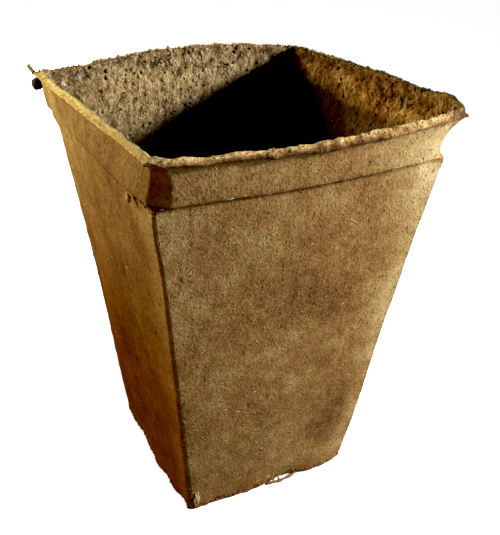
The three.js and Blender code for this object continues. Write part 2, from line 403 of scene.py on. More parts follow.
def relief(points, height, size, seed, octaves=1):
    """Smooth noise at each point, with features of a given height and size."""
    shift = Vector([seed * step for step in NOISE_STEP])
    flat = points.reshape(-1, 3) / size
    values = [noise.fractal(Vector(p) + shift, *OCTAVES, octaves) for p in flat.tolist()]
    return height * np.array(values).reshape(points.shape[:2])


def crumb_field(points, size, seed):
    """Crumbs of a given size: 1 at the middle of each, 0 at its edge."""
    shift = Vector([seed * step for step in CRUMB_STEP])
    flat = points.reshape(-1, 3) / size
    values = [noise.voronoi(Vector(p) + shift)[0][0] for p in flat.tolist()]
    return 1 - np.clip(np.array(values).reshape(points.shape[:2]), 0, 1)


def drawn_out(points):
    """The points with leaning lengths shortened, which draws out a pattern on them."""
    x, y, z = np.moveaxis(points, 2, 0)
    along = x * math.sin(DRAWN_LEAN) + z * math.cos(DRAWN_LEAN)
    across = x * math.cos(DRAWN_LEAN) - z * math.sin(DRAWN_LEAN)
    return np.stack([across, y, along / DRAWN_STRETCH], 2)


def pitted(z, crumbs, lumps):
    """How deep each point lies in a pit between crumbs."""
    common = PIT_SHARE + sum(share * peak(z, middle, reach) for middle, reach, share in PIT_BANDS)
    return np.clip(rising(crumbs, *PIT_CRUMBS) * rising(lumps, *PIT_LUMPS) * common, 0, 1)


def unevenness(points, soil, rough):
    """Height of the surface over the smooth moulding, and how deep it is pitted."""
    z = points[..., 2]
    felt = np.where(z > SHOULDER, BAND_FELT, 1) * relief(points, *FELT)
    felt += peak(z, 0, FOOT_REACH) * relief(points, *FOOT_TEETH)
    lumps = relief(points, *LUMPS)
    stir = np.stack([relief(points, *pattern) for pattern in STIRS], 2)
    crumbs = crumb_field(drawn_out(points) + stir, *CRUMBS)
    pits = pitted(z, crumbs, lumps)
    crumbly = np.maximum(lumps + CRUMB_HEIGHT * (crumbs - 0.5) - PIT_DEPTH * pits, -DEEPEST)
    ragged = relief(points, *TORN) + relief(points, *WAVY)
    ragged *= rough[:, None] * (1 - 0.55 * round_rim(points, RIM_WEAR))
    broad = (1 - 2 * soil) * relief(points, *BROAD)
    return broad + (1 - soil) * felt + soil * crumbly + ragged, soil * np.clip(1.3 * pits, 0, 1)


def rim_waves(points, rough):
    return rough[:, None] * (relief(points, *RIM_WAVES) + relief(points, *RIM_TEETH))


# Mesh helpers

def new_object(name, vertices, faces, material):
    mesh = bpy.data.meshes.new(name)
    mesh.from_pydata(vertices, [], faces)
    mesh.materials.append(material)
    mesh.update()
    thing = bpy.data.objects.new(name, mesh)
    bpy.context.scene.collection.objects.link(thing)
    return thing


def add_piece(name, vertices, faces, material):
    """Makes a mesh object that rides with the pot and takes a slot's finish."""
    piece = new_object(name, vertices, faces, material)
    piece.data.shade_smooth()
    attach(piece, "root")
    return piece


def grid_faces(rows, columns):
    """Quads of a grid that closes on itself both ways."""
    index = np.arange(rows * columns).reshape(rows, columns)
    right = np.roll(index, -1, 1)
    above = np.roll(index, -1, 0)
    corner = np.roll(above, -1, 1)
    return np.stack([index, right, corner, above], 2).reshape(-1, 4)


def row_lengths(points):
    return norm(np.roll(points, -1, 0) - points, axis=2).mean(1)


def grid_uv(points, width, height):
    """Map of the quads' corners: share of the way round and of the profile's length."""
    columns = points.shape[1]
    steps = row_lengths(points)
    v = np.concatenate([[0], np.cumsum(steps)]) / steps.sum()
    u = np.arange(columns + 1) / columns
    u0, v0 = np.meshgrid(u[:-1], v[:-1])
    u1, v1 = np.meshgrid(u[1:], v[1:])
    corners = np.stack([u0, v0, u1, v0, u1, v1, u0, v1], 2).reshape(-1, 2)
    return corners * [width, height]


def add_uv(mesh, name, coordinates):
    values = np.asarray(coordinates, np.float32).ravel()
    mesh.uv_layers.new(name=name).data.foreach_set("uv", values)


def add_share(mesh, name, values):
    values = np.asarray(values, np.float32).ravel()
    mesh.attributes.new(name, "FLOAT", "POINT").data.foreach_set("value", values)


# Material helpers

def new_tree(name):
    material = bpy.data.materials.new(name)
    material.use_nodes = True
    tree = material.node_tree
    tree.nodes.clear()
    return material, tree


def add_node(tree, kind, inputs=None, **settings):
    """Adds a node with inputs by name or number, as values or sockets."""
    node = tree.nodes.new("ShaderNode" + kind)
    for key, value in settings.items():
        setattr(node, key, value)
    for key, value in (inputs or {}).items():
        socket = node.inputs[key]
        if isinstance(value, bpy.types.NodeSocket):
            tree.links.new(value, socket)
        else:
            socket.default_value = value
    return node


def maths(tree, operation, *values):
    return add_node(tree, "Math", dict(enumerate(values)), operation=operation).outputs[0]


def weighted(tree, *terms, start=0.0):
    """Sum of sockets, each times its weight."""
    total = start
    for value, weight in terms:
        total = maths(tree, "MULTIPLY_ADD", value, weight, total)
    return total


def noise_value(tree, vector, size, detail=2.0, roughness=0.5):
    inputs = {"Vector": vector, "Scale": 1 / size, "Detail": detail, "Roughness": roughness}
    return add_node(tree, "TexNoise", inputs).outputs["Fac"]


def cells(tree, vector, size, **settings):
    return add_node(tree, "TexVoronoi", {"Vector": vector, "Scale": 1 / size}, **settings)


def vector_maths(tree, operation, a, b):
    return add_node(tree, "VectorMath", {0: a, 1: b}, operation=operation).outputs[0]


def between(tree, value, low, high):
    """0 up to low, 1 from high on."""
    inputs = {"Value": value, "From Min": low, "From Max": high}
    return add_node(tree, "MapRange", inputs, interpolation_type="SMOOTHSTEP").outputs["Result"]


def ramp(tree, value, *stops):
    node = add_node(tree, "ValToRGB", {"Fac": value})
    elements = node.color_ramp.elements
    while len(elements) < len(stops):
        elements.new(0.5)
    for element, (position, colour) in zip(elements, stops):
        element.position = position
        element.color = (*colour, 1)
    return node.outputs["Color"]


def mixed(tree, share, a, b):
    """Blend of two colours, given as values or as sockets."""
    inputs = {"Factor": share}
    for number, colour in ((6, a), (7, b)):
        inputs[number] = (*colour, 1) if isinstance(colour, tuple) else colour
    return add_node(tree, "Mix", inputs, data_type="RGBA").outputs[2]


def attribute(tree, name):
    return add_node(tree, "Attribute", attribute_name=name).outputs["Fac"]


def finish_material(tree, colour, roughness, height, rise, specular):
    bump = add_node(tree, "Bump", {"Height": height, "Strength": 1.0, "Distance": rise})
    inputs = {"Base Color": colour, "Roughness": roughness, "Specular IOR Level": specular}
    surface = add_node(tree, "BsdfPrincipled", {**inputs, "Normal": bump.outputs[0]})
    add_node(tree, "OutputMaterial", {"Surface": surface.outputs[0]})


def fibre_layer(tree, flat, cell, length, width, seed):
    """A short bent fibre in each cell of the sheet: its mask and a random tint."""
    location = (seed * LAYER_STEP[0], seed * LAYER_STEP[1], 0)
    placed = add_node(tree, "Mapping", {"Vector": flat, "Location": location}).outputs[0]
    beds = cells(tree, placed, cell, voronoi_dimensions="2D")
    offset = vector_maths(tree, "SUBTRACT", placed, beds.outputs["Position"])
    tint = add_node(tree, "SeparateColor", {0: beds.outputs["Color"]})
    angle = maths(tree, "MULTIPLY", tint.outputs[0], 2 * math.pi)
    turned = add_node(tree, "VectorRotate", {"Vector": offset, "Angle": angle}, rotation_type="Z_AXIS")
    local = add_node(tree, "SeparateXYZ", {0: turned.outputs[0]})
    along, aside = local.outputs[0], local.outputs[1]
    bend = maths(tree, "MULTIPLY", maths(tree, "MULTIPLY", along, along), FIBRE_BEND / length)
    distance = maths(tree, "ABSOLUTE", maths(tree, "SUBTRACT", aside, bend))
    narrow = between(tree, distance, width / 2, 0)
    short = between(tree, maths(tree, "ABSOLUTE", along), length / 2, length / 5)
    return maths(tree, "MULTIPLY", narrow, short), tint.outputs[1]


# Materials

# Sizes of the pressed fibre's patterns, and the height of its fine relief
PATCHES = 18 * MM
BLOTCHES = 5 * MM
HUES = 9 * MM
GRAIN = 1.1 * MM
FINE_GRAIN = 0.5 * MM
FELT_PITS = 2.2 * MM
SOIL_STIR = 1.6 * MM
SOIL_SHIFT = 2.2 * MM
SOIL_LUMPS = 2.6 * MM
SOIL_CRUMBS = 1.1 * MM
SOIL_SPECKS = 0.6 * MM
PULP_RELIEF = 0.5 * MM
BIT_RELIEF = 0.15 * MM

# Fibres of the felt: spacing, length and width in each layer, shift between layers, and bend
FIBRE_LAYERS = np.array([(2.6, 2.4, 0.55), (1.7, 1.7, 0.5), (1.2, 1.3, 0.46)]) * MM
LAYER_STEP = (0.37, 0.73)
FIBRE_BEND = 0.12

# Ramps of tones: places on the ramp and their colours
BROWN_FELT = [
    (0.3, (0.11, 0.04, 0.011)),
    (0.48, (0.28, 0.145, 0.048)),
    (0.66, (0.455, 0.315, 0.14)),
    (0.9, (0.7, 0.57, 0.34)),
]
OLIVE_FELT = [
    (0.3, (0.1, 0.04, 0.009)),
    (0.48, (0.275, 0.153, 0.046)),
    (0.66, (0.46, 0.335, 0.144)),
    (0.9, (0.7, 0.59, 0.35)),
]
TORN_LIP = [
    (0.1, (0.08, 0.03, 0.007)),
    (0.28, (0.19, 0.09, 0.025)),
    (0.5, (0.42, 0.245, 0.083)),
    (0.78, (0.88, 0.625, 0.285)),
]
# Soil ramps: plain, and redder and darker for the painted warm shade
PLAIN_SOIL = [(0.18, (0.125, 0.066, 0.024)), (0.4, (0.48, 0.342, 0.16)), (0.64, (0.8, 0.65, 0.365))]
WARM_SHADED_SOIL = [(0.24, (0.11, 0.027, 0.004)), (0.4, (0.47, 0.16, 0.038)), (0.58, (0.9, 0.49, 0.18))]

# Single colours
LIGHT_FIBRE = (0.56, 0.4, 0.17)
DARK_FIBRE = (0.09, 0.032, 0.006)
# Colour of painted shade in the felt's pits
FELT_PIT_SHADE = (0.08, 0.028, 0.006)
FOOT_STAIN = (0.25, 0.1, 0.024)
# Colours of painted shade in the pits of the inside, plain and warm
PIT_SHADE = (0.08, 0.048, 0.02)
WARM_PIT_SHADE = (0.035, 0.009, 0.001)
# Near-white chips of the inside, plain and warm: partly their own colour, partly a painted glint
CHIP_GLINT = (0.9, 0.85, 0.72)
WARM_CHIP_GLINT = (0.3, 0.13, 0.03)
# Colour of the painted shade of the inside
PAINTED_SHADE_COLOUR = (0.03, 0.006, 0.001)


def with_fibres(tree, felt, height):
    """The felt's colour and relief with layers of short fibres on it."""
    flat = add_node(tree, "UVMap", uv_map="Felt").outputs[0]
    for seed, (cell, length, width) in enumerate(FIBRE_LAYERS.tolist(), 1):
        mask, tint = fibre_layer(tree, flat, cell, length, width, seed)
        shade = mixed(tree, between(tree, tint, 0.45, 0.55), DARK_FIBRE, LIGHT_FIBRE)
        odd = maths(tree, "ABSOLUTE", maths(tree, "SUBTRACT", tint, 0.5))
        cover = maths(tree, "MULTIPLY", mask, between(tree, odd, 0.05, 0.3))
        felt = mixed(tree, maths(tree, "MULTIPLY", cover, 0.26), felt, shade)
        height = maths(tree, "MULTIPLY_ADD", cover, 0.12, height)
    return felt, height


def felt_look(tree, place, patches, blotches):
    """Colour and relief of the felted outside and the torn lip, with painted light and shade in places, beside
    the corners, down the lip and in the pits.
    """
    grain = noise_value(tree, place, GRAIN, 2, 0.6)
    fine = noise_value(tree, place, FINE_GRAIN, 2, 0.7)
    bare = attribute(tree, "bare")
    # Paler and darker places, partly painted light and shade, and pale strips beside the corners from wear and
    # painted highlight
    places = [(attribute(tree, "light_and_tone"), 0.2), (attribute(tree, "worn_and_lit"), 0.12)]
    tone = weighted(tree, (patches, 0.33), (blotches, 0.3), (grain, 0.34), *places, start=0.015)
    hue = between(tree, noise_value(tree, place, HUES, 2), 0.35, 0.65)
    felt = mixed(tree, hue, ramp(tree, tone, *BROWN_FELT), ramp(tree, tone, *OLIVE_FELT))
    # Lip tone with painted light and shade on its crests, hollows and face
    torn = attribute(tree, "torn")
    lip_tone = weighted(tree, (torn, 1.0), (blotches, 0.3), (grain, 0.7), (fine, 0.6), start=-0.8)
    felt = mixed(tree, bare, felt, ramp(tree, lip_tone, *TORN_LIP))
    crumble = maths(tree, "MULTIPLY", maths(tree, "ADD", grain, fine), bare)
    felt, height = with_fibres(tree, felt, weighted(tree, (grain, 0.5), (crumble, 0.3)))
    # Dark felt pits: painted shade in small recesses
    pits = between(tree, cells(tree, place, FELT_PITS).outputs["Distance"], 0.22, 0.1)
    felt = mixed(tree, maths(tree, "MULTIPLY", pits, 0.35), felt, FELT_PIT_SHADE)
    felt = mixed(tree, attribute(tree, "foot"), felt, FOOT_STAIN)
    return felt, maths(tree, "MULTIPLY_ADD", pits, -0.3, height)


def soil_look(tree, place, patches, blotches):
    """Colour and relief of the crumbly inside, with painted shade in its hollows and pits, and where pale chips
    glint in it, partly as a painted glint.
    """
    warm_shade = attribute(tree, "warm_shade")
    stir = add_node(tree, "TexNoise", {"Vector": place, "Scale": 1 / SOIL_STIR, "Detail": 2.0})
    shift = vector_maths(tree, "MULTIPLY", stir.outputs["Color"], (SOIL_SHIFT,) * 3)
    tilted = {"Vector": place, "Rotation": (0, DRAWN_LEAN, 0), "Scale": (1, 1, DRAWN_STRETCH)}
    drawn = add_node(tree, "Mapping", tilted, vector_type="TEXTURE").outputs[0]
    stirred = vector_maths(tree, "ADD", drawn, shift)
    lumps = cells(tree, stirred, SOIL_LUMPS)
    hollow = lumps.outputs["Distance"]
    crumbs = cells(tree, stirred, SOIL_CRUMBS).outputs["Distance"]
    speck = noise_value(tree, drawn, SOIL_SPECKS, 3, 0.7)
    # Soil darker in the hollows between lumps: painted shade
    parts = [(hollow, -0.28), (crumbs, -0.23), (speck, 0.18), (patches, 0.35), (blotches, 0.4)]
    tone = weighted(tree, *parts, start=0.2)
    # Painted warm shade: redder, darker soil on the inner walls under the warm lamp
    soil = mixed(tree, warm_shade, ramp(tree, tone, *PLAIN_SOIL), ramp(tree, tone, *WARM_SHADED_SOIL))
    # Pits of the shell darkened: painted shade in recesses
    soil = mixed(tree, attribute(tree, "pit"), soil, mixed(tree, warm_shade, PIT_SHADE, WARM_PIT_SHADE))
    # Rare near-white chips: partly pale chips, partly a painted glint
    chance_tint = add_node(tree, "SeparateColor", {0: lumps.outputs["Color"]}).outputs[0]
    chosen = between(tree, chance_tint, 0.9, 0.92)
    glint = maths(tree, "MULTIPLY", between(tree, hollow, 0.3, 0.2), chosen)
    soil = mixed(tree, glint, soil, mixed(tree, warm_shade, CHIP_GLINT, WARM_CHIP_GLINT))
    # Painted shade of the inside: the soil darkens where shadow falls on the walls
    soil = mixed(tree, attribute(tree, "deep"), soil, PAINTED_SHADE_COLOUR)
    bumps = weighted(tree, (hollow, -1.5), (crumbs, -1.0), (speck, 0.9))
    return soil, bumps, glint


def pulp_material():
    """Pressed fibre: felted outside, crumbly inside."""
    material, tree = new_tree("pulp")
    place = add_node(tree, "TexCoord").outputs["Object"]
    patches = noise_value(tree, place, PATCHES, 3)
    blotches = noise_value(tree, place, BLOTCHES, 3, 0.6)
    felt, fuzz = felt_look(tree, place, patches, blotches)
    soil, bumps, glint = soil_look(tree, place, patches, blotches)
    inside = attribute(tree, "inside")
    colour = mixed(tree, inside, felt, soil)
    height = add_node(tree, "Mix", {"Factor": inside, "A": fuzz, "B": bumps}).outputs[0]
    shine = add_node(tree, "MapRange", {"Value": glint, "To Min": 0.92, "To Max": 0.3}).outputs[0]
    finish_material(tree, colour, shine, height, PULP_RELIEF, 0.25)
    return material


def bit_material(name, size, stretch, *stops):
    """Straw, fibre or crumb, with fine streaks and, for some, painted warm shade and the painted shade of the
    inside.
    """
    material, tree = new_tree(name)
    place = add_node(tree, "TexCoord").outputs["Object"]
    drawn = add_node(tree, "Mapping", {"Vector": place, "Scale": (1, 1, stretch)}).outputs[0]
    streaks = noise_value(tree, drawn, size, 3, 0.6)
    colour = ramp(tree, weighted(tree, (attribute(tree, "tint"), 0.65), (streaks, 0.35)), *stops)
    if name in WARM_SHADE_LOOKS:
        # Crumbs on the warm-lit walls take the painted warm shade
        warm_shaded = ramp(tree, streaks, *WARM_SHADE_LOOKS[name])
        colour = mixed(tree, attribute(tree, "warm_shade"), colour, warm_shaded)
        # Crumbs take the painted shade of the inside too
        colour = mixed(tree, attribute(tree, "deep"), colour, PAINTED_SHADE_COLOUR)
    finish_material(tree, colour, 0.8, streaks, BIT_RELIEF, 0.3)
    return material


# Pieces

def blobs(points, places):
    """Sum of soft round patches, each a place, a reach and a strength."""
    total = np.zeros(points.shape[:2])
    for place, reach, strength in places:
        distance = norm(points - np.array(place) * MM, axis=2)
        total += strength * peak(distance, 0, reach * MM)
    return total


# Paler places (positive) and darker ones, partly painted light and shade and partly patchy tone: place and
# reach in mm, and strength
LIGHT_AND_TONE_PLACES = [
    ((50, -56, 146), 20, 1.35),
    ((58, -49, 141), 7, -1.3),
    ((58, -49, 149), 7, -1.3),
    ((51.5, -50.5, 139), 5.5, -0.85),
    ((52, -51, 145), 5.5, -0.85),
    ((4, -46, 92), 32, -0.4),
    ((-32, -50, 120), 20, 0.15),
    ((26, -50, 122), 18, -0.25),
    ((0, -37, 18), 24, 0.2),
    ((28, -39, 33), 17, -1.0),
    ((37, -38, 30), 8, 0.8),
    ((-55, 0, 143), 32, -0.35),
    ((-55, -49, 143), 5, -0.6),
    ((-38, 0, 10), 45, -0.4),
    ((-48, -12, 95), 22, -0.25),
    ((-44, 4, 65), 20, -0.4),
]

# Redder, darker places of the inside, painted warm shade, given the same way
WARM_SHADE_PLACES = [
    ((52, -34, 138), 30, 1.1),
    ((52, 6, 138), 30, 1.1),
    ((52, 44, 138), 24, 1.1),
    ((-10, -53, 140), 35, 0.4),
]

# Painted shade of the inside, in places where shadow falls on its walls
SHADE_PLACES = [
    ((47, 25, 115), 22, 0.9),
    ((22, 50, 112), 20, 0.9),
    ((0, 50, 121), 11, 0.7),
    ((20, 50, 130), 11, 0.7),
    ((38, 50, 138), 11, 0.7),
    ((52, 30, 150), 14, 0.35),
    ((-42, 50, 146), 12, 0.24),
]

# Stained stretches of the foot
FOOT_PLACES = [((20, -37, 0), 20, 0.9), ((-4, -37, 0), 16, 0.9), ((-37, 5, 0), 34, 0.9)]

# Values by share of the way round: wear of the lip's face, which also weakens its painted shade, soil over the
# crest, and how pale the crest is, partly a painted highlight
RIM_WEAR = [(0.02, -0.2), (0.125, -0.2), (0.375, 0), (0.53, 0.85), (0.6, 0.9), (0.72, 0.85), (0.76, 0.25),
            (0.86, 0.2), (0.93, 0.75), (0.98, 0.7)]
RIM_SOIL = [(0, 1), (0.47, 1), (0.5, 0), (0.955, 0), (0.972, 1)]
RIM_PALE = [(0, 0.34), (0.03, 0.5), (0.375, 0.5), (0.5, 0.66), (0.6, 0.76), (0.72, 0.92), (0.76, 0.94),
            (0.955, 0.74), (0.972, 0.34)]

# Wear and painted highlight beside an upright edge: reach in columns on its left and on its right
LIT_WEAR_LEFT = 9
LIT_WEAR_RIGHT = 2

# Painted shadow along the foot of the band, under its step: height, reach, and strength on the left side and
# elsewhere
STEP_SHADOW_HEIGHT = SHOULDER + 0.7 * MM
STEP_SHADOW_REACH = 0.6 * MM
LEFT_STEP_SHADOW = 1.5
OTHER_STEP_SHADOW = 0.6

# Painted shade of the inside: edge of its redder, warm part at the far corner, and the heights between which it
# darkens, dims and ends
WARM_SHADE_EDGE = 3 * MM
RIGHT_SIDE = 40 * MM
RIGHT_DEPTHS = (144.5 * MM, 134.5 * MM)
RIGHT_DARKEST = 0.74
OTHER_DEPTHS = (120 * MM, 100 * MM)
DIM_DEPTHS = (137 * MM, 125 * MM)
DIM_SHARE = 0.35
FLOOR_HEIGHTS = (70 * MM, 95 * MM)

# Painted shade along the edge of the mouth: reach, strength on the right side and elsewhere, and where it ends
# beside the ear
EDGE_REACH = 4 * MM
RIGHT_EDGE = 0.4
OTHER_EDGE = 0.32
EAR_END = (-52 * MM, -38 * MM)

# Least height of the foot's stain
LEAST_STAIN = 0.5 * MM

# Height below which points stand on the ground, and the share of unevenness that they keep
CONTACT_HEIGHT = 0.2 * MM
CONTACT_SHARE = 0.2


def round_rim(points, stops):
    """A value for each column of points, from stops round the rim."""
    columns = points.shape[1]
    return np.interp(np.arange(columns) / columns, *zip(*stops))


def worn_and_lit_edges(points):
    # Paler strip beside each upright corner of the wall: wear and painted highlight
    columns = np.arange(points.shape[1])
    away = (columns - SIDE_COLUMNS / 2) % (SIDE_COLUMNS + CORNER_COLUMNS) - SIDE_COLUMNS / 2
    worn_and_lit = peak(away, 0, np.where(away < 0, LIT_WEAR_LEFT, LIT_WEAR_RIGHT))
    return worn_and_lit[None] * (points[..., 2] < SHOULDER)


def warm_shade_share(points):
    """How much the inside is redder and darker with painted warm shade, ending at the far corner."""
    past = rising(points[..., 0] - points[..., 1], -WARM_SHADE_EDGE, WARM_SHADE_EDGE)
    return blobs(points, WARM_SHADE_PLACES).clip(0, 1) * past


def painted_step_shadow(points):
    # Darker line under the band's step: painted shadow
    shadow_strength = np.where(points[..., 0] < -0.9 * SHOULDER_HALF, LEFT_STEP_SHADOW, OTHER_STEP_SHADOW)
    return shadow_strength * peak(points[..., 2], STEP_SHADOW_HEIGHT, STEP_SHADOW_REACH)


def lip_light_and_shade(points):
    """Tone of the ragged lip: lighter on the crests and darker in the hollows of its relief, and darker down
    its face, as painted light and shade; its pale crest is partly a painted highlight.
    """
    torn = relief(points, *TORN) / TORN[0]
    wear = round_rim(points, RIM_WEAR)
    below = (points[..., 2].max(0) - points[..., 2]) / (LIP_DROP + LIP_THICKNESS)
    # Darker down the lip's face: painted shade under the crest
    shaded = (1.1 - wear) * (1.35 * below).clip(0, 1)
    return round_rim(points, RIM_PALE) - shaded + 0.35 * torn * (1 - 0.6 * wear)


def inner_painted_shade(points):
    """How much painted shade darkens the inside: sooner on the right side, and not near the floor."""
    x, y, z = np.moveaxis(points, 2, 0)
    right = x > RIGHT_SIDE
    low = np.where(right, rising(z, *RIGHT_DEPTHS).clip(0, RIGHT_DARKEST), rising(z, *OTHER_DEPTHS))
    # Painted shade that darkens the other walls lower down, towards the shadow's edge
    dim = DIM_SHARE * ~right * rising(z, *DIM_DEPTHS)
    edge = np.where(right, RIGHT_EDGE * rising(y, *EAR_END), OTHER_EDGE) * peak(z, RIM_HEIGHT, EDGE_REACH)
    dark = low + dim + edge + blobs(points, SHADE_PLACES)
    return dark.clip(0, 1) * rising(z, *FLOOR_HEIGHTS)


def stain(points):
    """Red-brown share of the wall near the foot, with an uneven upper edge."""
    reach = STAIN_EDGE[0] + relief(points, *STAIN_EDGE)
    fade = (1 - points[..., 2] / np.maximum(reach, LEAST_STAIN)).clip(0, 1) ** 0.7
    return 0.85 * fade * blobs(points, FOOT_PLACES).clip(0.15, 1)


def make_shell():
    points, inside, rough = shell_grid()
    soil = inside[:, None] * lerp(1, round_rim(points, RIM_SOIL), rough[:, None])
    height, pits = unevenness(points, soil, rough)
    stands = points[..., 2] < CONTACT_HEIGHT
    height[stands] = np.minimum(height[stands], 0) * CONTACT_SHARE
    solid = points + grid_normals(points) * height[:, :, None]
    solid[..., 2] += rim_waves(points, rough)
    solid[..., 2] = np.maximum(solid[..., 2], 0)
    faces = grid_faces(*solid.shape[:2])
    shell = add_piece("pot_shell", solid.reshape(-1, 3), faces, pulp_material())
    add_uv(shell.data, "OFBake", grid_uv(points, 1, 1))
    add_uv(shell.data, "Felt", grid_uv(points, 8 * RIM_HALF, row_lengths(points).sum()))
    shares = {
        "inside": soil,
        # Pits, darkened with painted shade
        "pit": pits,
        "bare": np.broadcast_to(rough[:, None] ** 2, soil.shape),
        # Tone of the lip, with painted light and shade
        "torn": lip_light_and_shade(points),
        # Wear and painted highlight beside the corners
        "worn_and_lit": worn_and_lit_edges(points),
        # Paler and darker places, partly painted light and shade, less the painted step shadow
        "light_and_tone": blobs(points, LIGHT_AND_TONE_PLACES) - painted_step_shadow(points),
        # Painted warm shade of the inside
        "warm_shade": warm_shade_share(points),
        # Painted shade of the inside
        "deep": inner_painted_shade(points),
        "foot": stain(points),
    }
    for name, values in shares.items():
        add_share(shell.data, name, values)
    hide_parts("pot_body")
    return solid, inside, rough


class Surface:
    """The finished shell as a sheet on which loose bits are strewn."""

    def __init__(self, points, inside, rough):
        self.points = points
        self.normals = grid_normals(points)
        self.lengths = row_lengths(points)
        self.widths = norm(np.roll(points, -1, 1) - points, axis=2).mean(1)
        self.inside = inside
        self.rough = rough
        self.height = points[..., 2].mean(1)

    def at(self, row, column):
        """Point and normal at fractional rows and columns."""
        rows, columns = self.points.shape[:2]
        r, c = np.floor(row).astype(int), np.floor(column).astype(int)
        dr, dc = (row - r)[..., None], (column - c)[..., None]
        r0, r1, c0, c1 = r % rows, (r + 1) % rows, c % columns, (c + 1) % columns

        def blend(grid):
            return lerp(lerp(grid[r0, c0], grid[r0, c1], dc), lerp(grid[r1, c0], grid[r1, c1], dc), dr)

        return blend(self.points), unit(blend(self.normals))

    def strewn(self, count, zone, around=(0, 1)):
        """Random rows and columns in a zone and on a stretch of the way round, even by area."""
        columns = self.points.shape[1]
        weight = self.lengths * self.widths * zone
        row = chance.choice(len(weight), count, p=weight / weight.sum()) + chance.random(count)
        return row, lerp(*around, chance.random(count)) * columns


# Loose fibres: points and sides of a strand, spread and middle of the bend, thinning, and lift in widths
STRAND_POINTS = 5
STRAND_SIDES = 3
BEND_SPREAD = 0.12
BEND_MIDDLE = 0.08
TAPER = 0.75
FIBRE_LIFT = 0.1

# Loose crumbs: least and most stretch of corners and axes, sinking in sizes, and depth of the lowest point
CORNER_STRETCH = (0.65, 1.25)
AXIS_STRETCH = (0.6, 1.2)
CRUMB_SINK = 0.1
CRUMB_DEPTH = 0.3 * MM


def strewn_fibres(surface, name, count, zone, length, width, material):
    """Short bent fibres on the shell, with lengths and widths in mm, joined in one mesh."""
    row, column = surface.strewn(count, zone)
    long = lerp(*length, chance.random(count) ** 2)[:, None] * MM
    thick = lerp(*width, chance.random(count))[:, None] * MM
    angle = chance.random(count)[:, None] * 2 * math.pi
    bend = chance.normal(0, BEND_SPREAD, count)[:, None]
    t = np.linspace(-0.5, 0.5, STRAND_POINTS)[None]
    along = long * t
    aside = long * bend * (t * t - BEND_MIDDLE)
    dx = along * np.cos(angle) - aside * np.sin(angle)
    dy = along * np.sin(angle) + aside * np.cos(angle)
    whole = np.floor(row).astype(int) % len(surface.lengths)
    rows = row[:, None] + dy / surface.lengths[whole][:, None]
    centre, normal = surface.at(rows, column[:, None] + dx / surface.widths[whole][:, None])
    way = np.gradient(centre, axis=1)
    side = unit(np.cross(way, normal.mean(1, keepdims=True)))
    up = unit(np.cross(side, way))
    taper = (1 - TAPER * (2 * np.abs(t)) ** 3) * thick / 2
    centre = centre + up * (FIBRE_LIFT * thick[..., None])
    turns = [QUARTER + 2 * math.pi * k / STRAND_SIDES for k in range(STRAND_SIDES)]
    corners = [centre + taper[..., None] * (math.cos(a) * side + math.sin(a) * up) for a in turns]
    vertices = np.stack(corners, 2).reshape(-1, 3)
    vertices[:, 2] = np.maximum(vertices[:, 2], 0)
    strand = tube_faces(STRAND_POINTS, STRAND_SIDES)
    size = STRAND_POINTS * STRAND_SIDES
    faces = (np.arange(count)[:, None, None] * size + np.array(strand)).reshape(-1, 4)
    piece = add_piece(name, vertices, faces, material)
    add_share(piece.data, "tint", np.repeat(chance.random(count), size))
    cell_uv(piece.data, count, len(strand) * 4)


def strewn_crumbs(surface, name, count, zone, size, material, around):
    """Small broken lumps sunk into the shell, with sizes in mm, joined in one mesh."""
    row, column = surface.strewn(count, zone, around)
    centre, normal = surface.at(row, column)
    golden = (1 + math.sqrt(5)) / 2
    base = np.array([(a, b * golden, 0) for a in (-1, 1) for b in (-1, 1)])
    base = np.concatenate([base, np.roll(base, 1, 1), np.roll(base, 2, 1)]) / math.hypot(1, golden)
    faces = hull_faces(base)
    big = lerp(*size, chance.random(count) ** 2)[:, None] * MM
    shape = base * chance.uniform(*CORNER_STRETCH, (count, len(base), 1))
    shape = shape * chance.uniform(*AXIS_STRETCH, (count, 1, 3))
    spin = np.linalg.qr(chance.normal(size=(count, 3, 3)))[0]
    spin *= np.linalg.det(spin)[:, None, None]
    vertices = np.einsum("nij,nkj->nki", spin, shape) * big[..., None] / 2
    vertices -= (normal * big * CRUMB_SINK)[:, None]
    sunk = np.minimum(np.einsum("nki,ni->nk", vertices, normal) + CRUMB_DEPTH, 0)
    vertices += centre[:, None] - sunk[:, :, None] * normal[:, None]
    vertices[:, :, 2] = np.maximum(vertices[:, :, 2], 0)
    every = (np.arange(count)[:, None, None] * len(base) + np.array(faces)).reshape(-1, 3)
    piece = add_piece(name, vertices.reshape(-1, 3), every, material)
    add_share(piece.data, "tint", np.repeat(chance.random(count), len(base)))
    # Painted warm shade, at each crumb
    add_share(piece.data, "warm_shade", np.repeat(warm_shade_share(centre[:, None]).ravel(), len(base)))
    # Painted shade of the inside, at each crumb
    add_share(piece.data, "deep", np.repeat(inner_painted_shade(centre[:, None]).ravel(), len(base)))
    cell_uv(piece.data, count, len(faces) * 3)


def tube_faces(rows, sides):
    """Quads of a tube of rings."""
    pairs = [(sides * r, k, (k + 1) % sides) for r in range(rows - 1) for k in range(sides)]
    return [(low + k, low + beside, low + sides + beside, low + sides + k) for low, k, beside in pairs]


def hull_faces(points):
    """Triangles of a regular icosahedron's points, wound outward."""
    gaps = norm(points[:, None] - points[None], axis=2)
    near = gaps < 1.1 * gaps[0, 1:].min()
    faces = []
    for a, b, c in combinations(range(len(points)), 3):
        if near[a, b] and near[b, c] and near[a, c]:
            outward = np.dot(np.cross(points[b] - points[a], points[c] - points[a]), points[a]) > 0
            faces.append((a, b, c) if outward else (a, c, b))
    return faces


